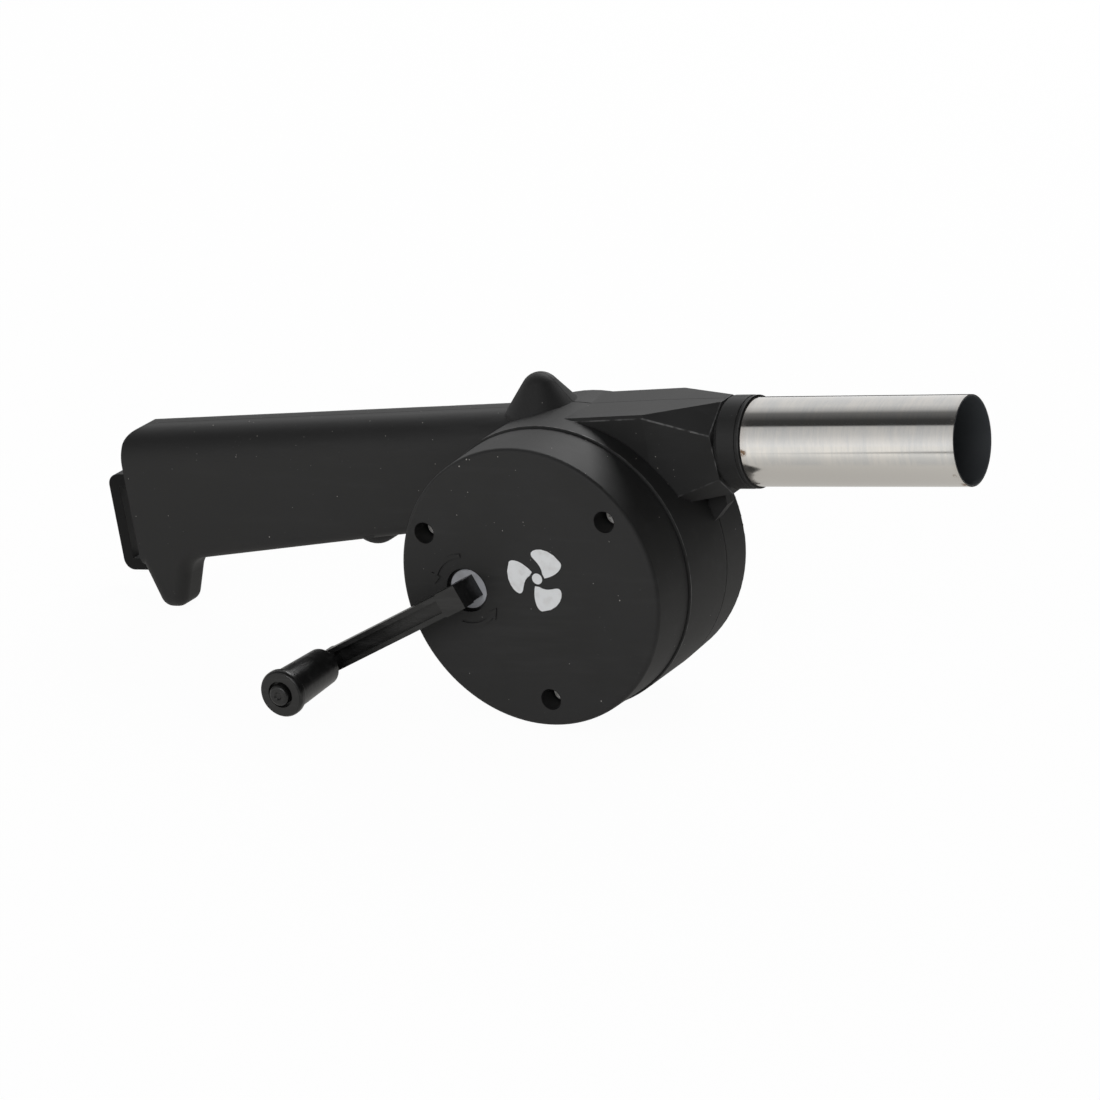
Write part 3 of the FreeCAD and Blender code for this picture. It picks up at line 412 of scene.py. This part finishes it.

# %% [markdown]
# ## The air pipe: bright stainless tube
# The tube is drawn along its length and polished round it, so faint streaks run both ways
# and the surface is nearly a mirror. Blotches make it a little rougher, and on its upper half
# they are painted darker and cooler, a painted shade that dims the reflections there. Where
# it was cut and where the hot collar end was worked, the steel has brown heat marks.
# Everything inside the wall is painted almost black, as painted shade in the bore. The angle
# round the pipe's axis comes from Y and Z.

# %% Pipe steel


BRIGHT_STEEL = grey(0.74, (1.0, 0.968, 0.92))
# Painted shade for the blotches on the upper half.
SHADED_STEEL = grey(0.66, (0.99, 0.985, 0.97))
HEAT_BROWN = (0.24, 0.15, 0.09, 1.0)
# Painted shade for the inside of the bore.
BORE_SHADE = (0.060, 0.066, 0.072, 1.0)

# Heat spots on the open end: distance along X, angle round the axis, size in millimetres.
END_SPOTS = ((PIPE_END_X - 0.8, -0.95, 1.5), (PIPE_END_X - 1.4, -0.55, 0.8),
             (PIPE_END_X - 0.4, -1.35, 1.0))


def heat_spot(x, angle, place_x, place_angle, size):
    """A soft brown spot on the tube at a distance along it and an angle round it."""
    along = (x - place_x) / size
    round_it = (angle - place_angle) * PIPE_RADIUS / size
    return 1 - (along * along + round_it * round_it).power(0.5).rise(0.3, 1.0)


def make_pipe_steel():
    finish = new_finish("pipe_steel")
    place = finish.millimetres()
    x, y, z = finish.parts(place)
    side, up = PARTING_Y - y, z - PIPE_Z
    angle = up.maths("ARCTAN2", side)
    depth = (side * side + up * up).power(0.5)
    bore = 1 - depth.rise(PIPE_RADIUS - 0.28, PIPE_RADIUS - 0.2)
    draw = finish.noise(finish.stretched(place, 0.02, 1.6, 1.6), 1.0, 4.0, 0.7)
    cross = finish.noise(finish.stretched(place, 0.9, 0.10, 0.10), 1.0, 4.0, 0.7)
    cloud = finish.noise(place, 0.10, 3.0, 0.5)
    crack = finish.noise(place, 0.9, 4.0, 0.6)
    collar = 1 - x.rise(COLLAR_END_X + 0.4, COLLAR_END_X + 2.6)
    rim = x.rise(PIPE_END_X - 1.6, PIPE_END_X - 0.2)
    spots = heat_spot(x, angle, COLLAR_END_X + 0.9, 0.06, 1.5)
    for where, turn, size in END_SPOTS:
        spots = spots.at_least(heat_spot(x, angle, where, turn, size))
    heat = (spots * crack.rise(0.35, 0.6)).at_least((collar * 0.25 + rim * 0.15) * crack)
    blotch = (cross * 0.6 + cloud * 0.6).rise(0.45, 0.75)
    # Painted shade: the upper half's blotches are darker and cooler.
    upper = angle.rise(-0.30, -0.18)
    tone = finish.mix(BRIGHT_STEEL, SHADED_STEEL, blotch * upper)
    tone = finish.mix(tone, HEAT_BROWN, heat)
    # Painted shade: everything inside the wall is almost black.
    tone = finish.mix(tone, BORE_SHADE, bore)
    rough = 0.06 + draw * 0.03 + blotch * 0.05 + heat * 0.3 + bore * 0.5
    metal = (1 - bore * 0.9 - heat * 0.3).clamped()
    height = draw * 0.05 + cross * 0.12
    surface("pipe_steel", tone, rough, height, 0.000012, metal)


make_pipe_steel()
print("pipe_steel made")

# %% [markdown]
# ## Small metals
# Inside are plain bright steel parts, zinc-plated screws and sintered bronze bushes. Turned
# parts carry rings from the tool, zinc has a spangled, slightly yellow skin, and sintered
# bronze is a fine sponge. One function makes all three from a few numbers. The zinc is only
# partly a mirror, because its cloudy skin scatters the little light in the screw holes.

# %% Steel, zinc and bronze


def make_metal(name, bright, dull, rough, grain_scale, pores, metal):
    finish = new_finish(name)
    place = finish.millimetres()
    spangle, pick = finish.cells(place, grain_scale)
    cloud = finish.noise(place, 0.5, 3.0, 0.6)
    fine = finish.noise(place, 6.0, 2.0, 0.6)
    tone = finish.mix(bright, dull, (pick * 0.5 + cloud.rise(0.4, 0.8) * 0.5).clamped())
    holes = fine.rise(0.62, 0.7) * pores
    tone = finish.mix(tone, grey(0.03), holes)
    level = rough + pick * 0.12 + fine * 0.06
    surface(name, tone, level, fine * 0.6 - holes * 2.0 + spangle * 0.2, 0.00001, metal)


make_metal("plate_steel", bright=grey(0.60), dull=grey(0.48),
           rough=0.28, grain_scale=0.8, pores=0.0, metal=1.0)
make_metal("screw_zinc", bright=(0.95, 0.94, 0.90, 1.0), dull=(0.30, 0.29, 0.27, 1.0),
           rough=0.36, grain_scale=1.9, pores=0.4, metal=0.30)
make_metal("bush_brass", bright=(0.68, 0.45, 0.20, 1.0), dull=(0.46, 0.28, 0.11, 1.0),
           rough=0.34, grain_scale=1.1, pores=0.8, metal=1.0)
print("plate_steel, screw_zinc and bush_brass made")

# %% [markdown]
# ## Putting the finishes on
# The record says which material slot each node has. A node's object gets the finish of the
# same name, and its mesh stays as it came.

# %% Finishes on the frame's nodes
for part in frame["record"]["subparts"]:
    for slot in nodes[part["node"]].material_slots:
        slot.material = materials[part["material_slot"]]

# %% [markdown]
# ## The white mark on the cover
# A pad print in white stands beside the crank: a small fan with three blades, a generic sign
# for moving air. The three blades repeat one shape, so Geometry Nodes copy a single blade
# round the middle and add the hub disc. The print has a real, very small thickness.

# %% One blade of the mark
MARK_X, MARK_Z = 3.4, 3.0
MARK_RADIUS = 9.6
MARK_THICK = 0.03
BLADE_ROOT = 2.4
BLADE_COUNT = 3
HUB_RADIUS = 1.6


def blade_outline(steps=14):
    """Corners of one swirled blade, in polar form, from the hub out and back."""
    edge = []
    for i in range(steps + 1):
        t = i / steps
        radius = BLADE_ROOT + (MARK_RADIUS - BLADE_ROOT) * math.sin(t * math.pi / 2)
        edge.append((radius, math.radians(4 + 26 * t)))
    back = []
    for i in range(steps + 1):
        t = i / steps
        radius = MARK_RADIUS - (MARK_RADIUS - BLADE_ROOT) * (1 - math.cos(t * math.pi / 2)) ** 0.9
        back.append((radius, math.radians(30 + 62 * math.sin(t * math.pi) ** 0.9 + 8 * t)))
    return [(r * math.cos(a) * MM, r * math.sin(a) * MM) for r, a in edge + back[1:]]


def make_blade():
    mesh = bpy.data.meshes.new("mark_blade")
    build = bmesh.new()
    corners = [build.verts.new((x, 0.0, z)) for x, z in blade_outline()]
    build.faces.new(corners)
    bmesh.ops.triangulate(build, faces=build.faces)
    build.to_mesh(mesh)
    build.free()
    blade = bpy.data.objects.new("mark_blade", mesh)
    scene.collection.objects.link(blade)
    return blade


mark_blade = make_blade()
print("blade corners:", len(mark_blade.data.vertices))

# %% Finish of the print


def make_print():
    finish = new_finish("mark_print")
    place = finish.millimetres()
    weave = finish.noise(place, 3.0, 3.0, 0.6)
    cloud = finish.noise(place, 0.4, 2.0, 0.5)
    tone = finish.mix(grey(0.80, (0.985, 1.0, 1.01)), grey(0.70), cloud.rise(0.4, 0.8))
    tone = finish.mix(tone, grey(0.35), weave.rise(0.68, 0.78) * 0.6)
    surface("mark_print", tone, 0.45 + weave * 0.1, weave, 0.000006)


make_print()
print("mark_print made")

# %% A tree that copies the blade round the hub


def new_tree(name, inputs):
    """A Geometry Nodes tree with a geometry in and out and named number inputs."""
    tree = bpy.data.node_groups.new(name, "GeometryNodeTree")
    face = tree.interface
    face.new_socket("Geometry", in_out="INPUT", socket_type="NodeSocketGeometry")
    for label, kind, value in inputs:
        made = face.new_socket(label, in_out="INPUT", socket_type="NodeSocket" + kind)
        made.default_value = value
    face.new_socket("Geometry", in_out="OUTPUT", socket_type="NodeSocketGeometry")
    return tree


def finish_tree(tree, geometry, material):
    """Ends a tree in Realize Instances and Set Material."""
    real = tree.nodes.new("GeometryNodeRealizeInstances")
    paint = tree.nodes.new("GeometryNodeSetMaterial")
    paint.inputs["Material"].default_value = material
    end = tree.nodes.new("NodeGroupOutput")
    tree.links.new(geometry, real.inputs[0])
    tree.links.new(real.outputs[0], paint.inputs["Geometry"])
    tree.links.new(paint.outputs[0], end.inputs[0])


def mark_tree():
    inputs = [("Blades", "Int", BLADE_COUNT), ("Hub radius", "Float", HUB_RADIUS * MM)]
    tree = new_tree("mark_tree", inputs)
    start = tree.nodes.new("NodeGroupInput")
    spokes = tree.nodes.new("GeometryNodeMeshLine")
    tree.links.new(start.outputs["Blades"], spokes.inputs["Count"])
    spokes.inputs["Offset"].default_value = (0.0, 0.0, 0.0)
    index = tree.nodes.new("GeometryNodeInputIndex")
    step = tree.nodes.new("ShaderNodeMath")
    step.operation = "DIVIDE"
    step.inputs[0].default_value = 2 * math.pi
    tree.links.new(start.outputs["Blades"], step.inputs[1])
    angle = tree.nodes.new("ShaderNodeMath")
    angle.operation = "MULTIPLY"
    tree.links.new(index.outputs[0], angle.inputs[0])
    tree.links.new(step.outputs[0], angle.inputs[1])
    turn = tree.nodes.new("ShaderNodeCombineXYZ")
    tree.links.new(angle.outputs[0], turn.inputs["Y"])
    copies = tree.nodes.new("GeometryNodeInstanceOnPoints")
    tree.links.new(spokes.outputs[0], copies.inputs["Points"])
    tree.links.new(start.outputs["Geometry"], copies.inputs["Instance"])
    tree.links.new(turn.outputs[0], copies.inputs["Rotation"])
    hub = tree.nodes.new("GeometryNodeMeshCircle")
    hub.fill_type = "NGON"
    hub.inputs["Vertices"].default_value = 32
    tree.links.new(start.outputs["Hub radius"], hub.inputs["Radius"])
    stand = tree.nodes.new("GeometryNodeTransform")
    stand.inputs["Rotation"].default_value = (math.pi / 2, 0.0, 0.0)
    tree.links.new(hub.outputs[0], stand.inputs["Geometry"])
    both = tree.nodes.new("GeometryNodeJoinGeometry")
    tree.links.new(copies.outputs[0], both.inputs[0])
    tree.links.new(stand.outputs[0], both.inputs[0])
    finish_tree(tree, both.outputs[0], materials["mark_print"])
    return tree


def plain_mesh(source, tree, name, settings):
    """Evaluates a Geometry Nodes tree on an object and returns the result as a plain object."""
    modifier = source.modifiers.new("nodes", "NODES")
    modifier.node_group = tree
    for item in tree.interface.items_tree:
        if item.name in settings:
            modifier[item.identifier] = settings[item.name]
    graph = bpy.context.evaluated_depsgraph_get()
    graph.update()
    mesh = bpy.data.meshes.new_from_object(source.evaluated_get(graph))
    source.modifiers.remove(modifier)
    made = bpy.data.objects.new(name, mesh)
    scene.collection.objects.link(made)
    bpy.data.objects.remove(source)
    return made


mark_sizes = {"Blades": BLADE_COUNT, "Hub radius": HUB_RADIUS * MM}
fan_mark = plain_mesh(mark_blade, mark_tree(), "fan_mark", mark_sizes)
print("mark faces:", len(fan_mark.data.polygons))

# %% Give the print its thickness and its place


def thicken(piece, depth, place):
    """Extrudes a flat mesh along Y to a closed plate whose back is at the place."""
    build = bmesh.new()
    build.from_mesh(piece.data)
    bmesh.ops.remove_doubles(build, verts=build.verts, dist=1e-6)
    made = bmesh.ops.extrude_face_region(build, geom=build.faces[:])
    moved = [v for v in made["geom"] if isinstance(v, bmesh.types.BMVert)]
    bmesh.ops.translate(build, verts=moved, vec=(0.0, -depth, 0.0))
    bmesh.ops.translate(build, verts=build.verts, vec=place)
    bmesh.ops.recalc_face_normals(build, faces=build.faces)
    build.to_mesh(piece.data)
    build.free()


thicken(fan_mark, MARK_THICK * MM, (MARK_X * MM, COVER_FACE_Y * MM, MARK_Z * MM))
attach(fan_mark, "housing")
print("fan_mark thickness:", MARK_THICK, "mm")

# %% [markdown]
# ## Floor
# The blower rests on the bottom of its drum and on the tip of its finger hook, so the floor
# is the plane that touches both. It leans against the frame's axes by the angle found below.
# The camera sees it white, with a little of its real shading kept, so a soft shadow stays.
# Mirror-like surfaces see a paper sheet instead: painted darker under the blower as a painted
# shadow, white further out and in front on the left, and dark beyond the sheet's edge. That
# gives the lower half of the pipe its soft bands. Seen from below the floor lets the view
# through.

# %% Floor
DRUM_BELLY = 42.45
TIP_X, TIP_Z, TIP_ROUND = -144.5, -13.8, 4.2
FLOOR_HALF = 6.0
# Painted shadow: the sheet's mirrored tone under the blower.
SHEET_SHADE = grey(0.55, (1.0, 0.985, 0.955))
SHEET_EDGE = grey(1.0, (1.0, 0.99, 0.965))


def floor_lean():
    """Angle of the plane that touches the drum and the round corner of the hook's tip."""
    reach = math.hypot(TIP_X, TIP_Z)
    return math.asin((DRUM_BELLY - TIP_ROUND) / reach) - math.atan2(-TIP_Z, -TIP_X)


def make_floor():
    material = bpy.data.materials.new("floor_white")
    material.use_nodes = True
    finish = Finish(material.node_tree)
    seen, mirrored = finish.rays()
    paper = finish.node("ShaderNodeBsdfDiffuse", None, {"Color": grey(0.86)})
    x, y, z = finish.parts(finish.node("ShaderNodeTexCoord", out=3))
    reach = (x * x + y * y).power(0.5)
    front_left = (1 - x.rise(-0.1, 0.0)) * (1 - y.rise(-0.1, 0.0))
    on_sheet = (1 - reach.rise(0.25, 0.40)).at_least(front_left)
    # Painted shadow: mirrored, the sheet is darker under the blower and white further out.
    sheet = finish.mix(SHEET_SHADE, SHEET_EDGE, reach.rise(0.04, 0.32))
    bounce = finish.mix(grey(0.02), sheet, on_sheet)
    level = finish.mix(grey(1.0), bounce, mirrored)
    white = finish.node("ShaderNodeEmission", None, {"Color": level, "Strength": 1.0})
    share = (seen * 0.97).at_least(mirrored)
    look = finish.node("ShaderNodeMixShader", None, {0: share, 1: paper, 2: white})
    clear = finish.node("ShaderNodeBsdfTransparent")
    geometry = finish.node("ShaderNodeNewGeometry").socket.node.outputs
    under = Value(finish, geometry["Backfacing"])
    both = finish.node("ShaderNodeMixShader", None, {0: under, 1: look, 2: clear})
    finish.node("ShaderNodeOutputMaterial", None, {"Surface": both})
    turn = Matrix.Rotation(floor_lean(), 4, "Y")
    drop = Matrix.Translation(turn @ Vector((0.0, 0.0, -DRUM_BELLY * MM)))
    mesh = bpy.data.meshes.new("floor")
    build = bmesh.new()
    bmesh.ops.create_grid(build, x_segments=1, y_segments=1, size=FLOOR_HALF)
    bmesh.ops.transform(build, matrix=drop @ turn, verts=build.verts)
    build.to_mesh(mesh)
    build.free()
    mesh.materials.append(material)
    floor = bpy.data.objects.new("floor", mesh)
    scene.collection.objects.link(floor)


print("floor leans by", round(math.degrees(floor_lean()), 2), "degrees")
make_floor()

# %% [markdown]
# ## Light
# Black plastic shows its shape only by what it reflects, so the lights are large and soft: a
# high one behind draws the tops of handle and nozzle, a wide one in front is for the cover,
# and a weak one on the left fills the handle. To reflections the room is dark, apart from
# two upright panels left and right in front and a wall behind on the left. They are white at
# the bottom, grey further up, dark overhead and light again behind, and the bright pipe
# mirrors that as its bands.

# %% Lamps and room


def soft_lamp(name, place, target, width, height, power):
    data = bpy.data.lights.new(name, "AREA")
    data.shape = "RECTANGLE"
    data.size, data.size_y, data.energy = width, height, power
    lamp = bpy.data.objects.new(name, data)
    aim = Vector(target) - Vector(place)
    lamp.location = place
    lamp.rotation_mode = "QUATERNION"
    lamp.rotation_quaternion = aim.to_track_quat("-Z", "Y")
    scene.collection.objects.link(lamp)


# The panels' middle, as the X of a direction of length 1, and their levels from the front
# horizon (0) over the top to the back horizon (1).
PANEL_X = 0.505
PANEL_LEVELS = ((0.0, 1.0), (0.04, 1.0), (0.18, 0.68), (0.25, 0.60), (0.30, 0.52), (0.32, 0.04),
                (0.40, 0.05), (0.52, 0.18), (0.57, 0.50), (0.66, 0.76), (1.0, 0.95))


def make_room():
    world = bpy.data.worlds.new("room")
    world.use_nodes = True
    scene.world = world
    finish = Finish(world.node_tree)
    seen, mirrored = finish.rays()
    x, y, z = finish.parts(finish.node("ShaderNodeTexCoord", out=0))
    height = z.maths("ARCTAN2", -1 * y) * (180 / math.pi)
    stops = [(place, grey(level)) for place, level in PANEL_LEVELS]
    span = {"Value": height, "From Min": 0.0, "From Max": 180.0}
    bands = finish.node("ShaderNodeValToRGB", {"stops": stops},
                        {"Fac": finish.node("ShaderNodeMapRange", None, span)})
    left_panel = 1 - (x + PANEL_X).size().rise(0.20, 0.30)
    wall = height.rise(62.0, 72.0)
    left = left_panel.at_least(wall) * (1 - x.rise(-0.28, -0.06))
    right_panel = 1 - (x - PANEL_X).size().rise(0.12, 0.22)
    right = right_panel * (1 - height.rise(64.0, 84.0))
    lit = left.at_least(right * 0.7)
    level = finish.mix(grey(0.38), finish.mix(grey(0.02), bands, lit), mirrored)
    level = finish.mix(level, grey(1.0), seen)
    back = finish.node("ShaderNodeBackground", None, {"Color": level, "Strength": 1.0})
    finish.node("ShaderNodeOutputWorld", None, {"Surface": back})


soft_lamp("front_light", (0.2, -1.5, 0.9), (0.0, -0.03, 0.0), 1.2, 0.9, 9.5)
soft_lamp("left_light", (-1.3, -0.9, 0.7), (0.0, -0.03, 0.0), 0.9, 0.9, 0.5)
soft_lamp("back_light", (0.0, 1.4, 1.05), (-0.03, 0.0, 0.03), 0.8, 0.7, 14.5)
make_room()
